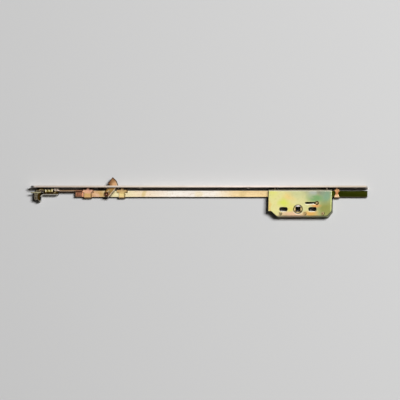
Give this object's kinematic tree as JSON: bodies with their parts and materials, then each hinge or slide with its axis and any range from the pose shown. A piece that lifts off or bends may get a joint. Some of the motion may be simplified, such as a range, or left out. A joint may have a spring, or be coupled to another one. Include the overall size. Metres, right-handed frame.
{
  "type": "window espagnolette",
  "caption": "Espagnolette for a window sash: faceplate, spindle-driven rack case, sliding drive rods, swinging hook bolt and a corner drive at one end.",
  "frame": {"origin": "on the axis of the spindle follower, in the plane that the part lies on", "axes": "+X along the faceplate away from the corner unit, +Y out of the faceplate's front, +Z along the spindle axis, up from the plane that the part lies on"},
  "size_m": [0.5, 0.0588, 0.016],
  "materials": {
    "faceplate_zinc": "yellow-passivated zinc, satin",
    "case_zinc": "yellow-passivated zinc with green and pink bloom, satin",
    "rivet_zinc": "yellow-passivated zinc, bright",
    "sleeve_steel": "plain zinc, dull",
    "hub_steel": "yellow-passivated sintered steel, satin",
    "rod_zinc": "yellow-passivated zinc, drawn, satin",
    "bracket_zinc": "yellow-passivated zinc, golden with a pink bloom",
    "bracket_copper": "yellow-passivated zinc, copper bloom",
    "hook_zinc": "yellow-passivated zinc, copper bloom",
    "band_steel": "brown-tinted spring steel, satin",
    "corner_zinc": "yellow-passivated zinc die casting, dark olive",
    "splice_zinc": "yellow-passivated zinc, pale green bloom",
    "clip_zinc": "yellow-passivated spring steel, bright pink bloom"
  },
  "bodies": {
    "base": {"faceplate": "faceplate_zinc", "case_shell": "case_zinc", "case_cover": "case_zinc", "case_rivets": "rivet_zinc", "case_spacers": "rivet_zinc", "screw_sleeves": "sleeve_steel", "case_mounting_studs": "rivet_zinc", "guide_rail": "sleeve_steel", "guide_bracket_left": "bracket_zinc", "guide_bracket_middle": "bracket_zinc", "guide_bracket_right": "bracket_copper", "hook_guide_bracket": "bracket_zinc", "corner_housing": "corner_zinc", "corner_leaf": "band_steel", "toothed_splice": "splice_zinc", "spring_clip": "clip_zinc", "corner_lip": "band_steel", "corner_rivet": "rivet_zinc"},
    "drive": {"rack_slide": "hub_steel", "guide_pin": "rivet_zinc", "left_drive_rod": "rod_zinc", "right_drive_rod": "rod_zinc", "rod_rivets": "rivet_zinc", "drive_band": "band_steel", "band_rivets": "rivet_zinc", "hook_pivot_rivet": "rivet_zinc", "hook_spacer_washer": "rivet_zinc"},
    "follower": {"spindle_follower": "hub_steel"},
    "hook_bolt": {"hook": "hook_zinc", "hook_guide_pin": "rivet_zinc"},
    "tongue": {"corner_tongue": "corner_zinc"}
  },
  "joints": [
    {"name": "rod_slide", "type": "slide", "parent": "base", "child": "drive", "axis": [1, 0, 0], "range_m": [-0.0157, 0]},
    {"name": "spindle_turn", "type": "hinge", "parent": "base", "child": "follower", "pos_m": [0, 0, 0.008], "axis": [0, 0, 1], "range_deg": [0, 90]},
    {"name": "hook_swing", "type": "hinge", "parent": "drive", "child": "hook_bolt", "pos_m": [-0.2845, 0.0228, 0.0096], "axis": [0, 0, 1], "range_deg": [-50, 0]},
    {"name": "tongue_slide", "type": "slide", "parent": "base", "child": "tongue", "axis": [0, -1, 0], "range_m": [0, 0.0157]}
  ],
  "couplings": [
    {"joint": "spindle_turn", "follows": "rod_slide", "rad_per_m": -100},
    {"joint": "hook_swing", "follows": "rod_slide", "rad_per_m": 55.556},
    {"joint": "tongue_slide", "follows": "rod_slide", "ratio": -1}
  ]
}
